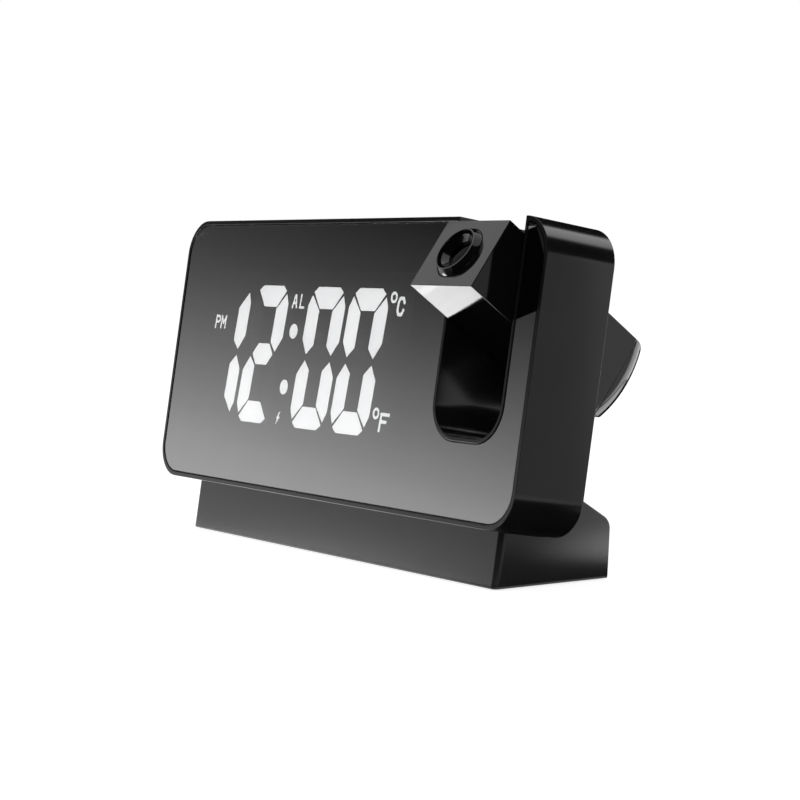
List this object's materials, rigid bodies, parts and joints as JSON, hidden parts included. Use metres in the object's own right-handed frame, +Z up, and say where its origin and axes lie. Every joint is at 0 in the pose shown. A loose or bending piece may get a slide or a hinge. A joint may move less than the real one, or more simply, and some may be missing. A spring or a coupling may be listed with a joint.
{
  "type": "projection alarm clock",
  "caption": "Projection alarm clock: a leaning case with a mirror display, a projector arm that swings through a slot in the case, rear keys, a snooze bar and a weighted base.",
  "frame": {"origin": "middle of the underside of the non-slip pad that the clock stands on", "axes": "+Z up, +X to the right of somebody who looks at the display, the display faces -Y and leans back by 9.3 degrees"},
  "size_m": [0.185, 0.0577, 0.0963],
  "materials": {
    "satin_black_case": "injection moulded, satin to gloss",
    "gloss_black_arm": "injection moulded, polished",
    "satin_black_base": "injection moulded, satin",
    "matte_black_cover": "injection moulded, fine texture",
    "focus_ring_black": "injection moulded, satin",
    "smoked_mirror_panel": "smoked, half-mirrored sheet",
    "segment_block_black": "matte",
    "lit_diffuser": "lit white diffuser",
    "unlit_diffuser": "unlit diffuser",
    "led_package": "phosphor filled",
    "circuit_board": "solder resist",
    "lamp_board_white": "white coated",
    "nylon_spacer": "moulded nylon",
    "chip_package": "moulded epoxy",
    "screw_steel": "zinc plated",
    "switch_metal": "stamped",
    "connector_black": "moulded",
    "cell_steel": "nickel plated",
    "sensor_epoxy": "dipped epoxy",
    "socket_steel": "nickel plated",
    "key_rubber": "soft moulded",
    "pivot_steel": "turned",
    "lens_cell_black": "matte",
    "clear_lens": "polished",
    "lcd_glass": "polished",
    "heat_sink_aluminium": "extruded",
    "lead_sleeve": "extruded sleeve",
    "ballast_steel": "rolled",
    "pad_rubber": "foamed sheet"
  },
  "bodies": {
    "case": {"case_shell": "satin_black_case", "mirror_panel": "smoked_mirror_panel", "segment_block": "segment_block_black", "lit_segments": "lit_diffuser", "symbol_lights": "lit_diffuser", "unlit_segments": "unlit_diffuser", "display_leds": "led_package", "display_board": "circuit_board", "main_board": "circuit_board", "port_board": "circuit_board", "board_spacers": "nylon_spacer", "board_chips": "chip_package", "board_link": "chip_package", "board_screws": "screw_steel", "cover_screws": "screw_steel", "base_screws": "screw_steel", "cradle_screws": "screw_steel", "key_switches": "switch_metal", "snooze_switch": "switch_metal", "cell_holder": "connector_black", "coin_cell": "cell_steel", "buzzer": "connector_black", "temperature_sensor": "sensor_epoxy", "charging_socket": "socket_steel", "power_socket": "connector_black", "lead_plug": "nylon_spacer", "rear_cover": "matte_black_cover", "base_housing": "satin_black_base", "base_plate": "matte_black_cover", "ballast_bar": "ballast_steel", "non_slip_pad": "pad_rubber"},
    "arm": {"arm_housing": "gloss_black_arm", "arm_cap": "gloss_black_arm", "arm_screws": "screw_steel", "pivot_sleeve": "pivot_steel", "pivot_pin": "pivot_steel", "spring_washers": "pivot_steel", "focus_guide": "connector_black", "lamp_housing": "connector_black", "lcd_mask": "lcd_glass", "condenser_lens": "clear_lens", "lamp_board": "lamp_board_white", "lamp_led": "led_package", "heat_sink": "heat_sink_aluminium", "projector_lead": "lead_sleeve"},
    "focus": {"focus_ring": "focus_ring_black"},
    "lens": {"lens_cell": "lens_cell_black", "objective_lens": "clear_lens", "lens_retainer": "lens_cell_black"},
    "battery_door": {"battery_door": "matte_black_cover"},
    "snooze": {"snooze_bar": "satin_black_case"},
    "set_key": {"set_key": "key_rubber"},
    "up_key": {"up_key": "key_rubber"},
    "down_key": {"down_key": "key_rubber"},
    "alarm_key": {"alarm_key": "key_rubber"},
    "projection_key": {"projection_key": "key_rubber"}
  },
  "joints": [
    {"name": "arm_swivel", "type": "hinge", "parent": "case", "child": "arm", "pos_m": [0.0674, -0.00028, 0.0711], "axis": [-1, 0, 0], "range_deg": [-27.2, 152.8]},
    {"name": "focus_turn", "type": "hinge", "parent": "arm", "child": "focus", "pos_m": [0.0674, -0.02142, 0.08674], "axis": [0, -0.8039, 0.5948], "range_deg": [-144.4, 144.4]},
    {"name": "focus_slide", "type": "slide", "parent": "arm", "child": "lens", "axis": [0, -0.8039, 0.5948], "range_m": [-0.0012, 0.0012]},
    {"name": "battery_door_hinge", "type": "hinge", "parent": "case", "child": "battery_door", "pos_m": [-0.05955, 0.00045, 0.0341], "axis": [-1, 0, 0], "range_deg": [0, 90]},
    {"name": "snooze_press", "type": "slide", "parent": "case", "child": "snooze", "axis": [0, -0.1616, -0.9869], "range_m": [0, 0.0005], "stiffness_N_per_m": 800, "springref_m": -0.0005},
    {"name": "set_press", "type": "slide", "parent": "case", "child": "set_key", "axis": [0, -0.9869, 0.1616], "range_m": [0, 0.0005], "stiffness_N_per_m": 500, "springref_m": -0.0004},
    {"name": "up_press", "type": "slide", "parent": "case", "child": "up_key", "axis": [0, -0.9869, 0.1616], "range_m": [0, 0.0005], "stiffness_N_per_m": 500, "springref_m": -0.0004},
    {"name": "down_press", "type": "slide", "parent": "case", "child": "down_key", "axis": [0, -0.9869, 0.1616], "range_m": [0, 0.0005], "stiffness_N_per_m": 500, "springref_m": -0.0004},
    {"name": "alarm_press", "type": "slide", "parent": "case", "child": "alarm_key", "axis": [0, -0.9869, 0.1616], "range_m": [0, 0.0005], "stiffness_N_per_m": 500, "springref_m": -0.0004},
    {"name": "projection_press", "type": "slide", "parent": "case", "child": "projection_key", "axis": [0, -0.9869, 0.1616], "range_m": [0, 0.0005], "stiffness_N_per_m": 500, "springref_m": -0.0004}
  ],
  "couplings": [
    {"joint": "focus_turn", "follows": "focus_slide", "rad_per_m": 2094.4}
  ]
}
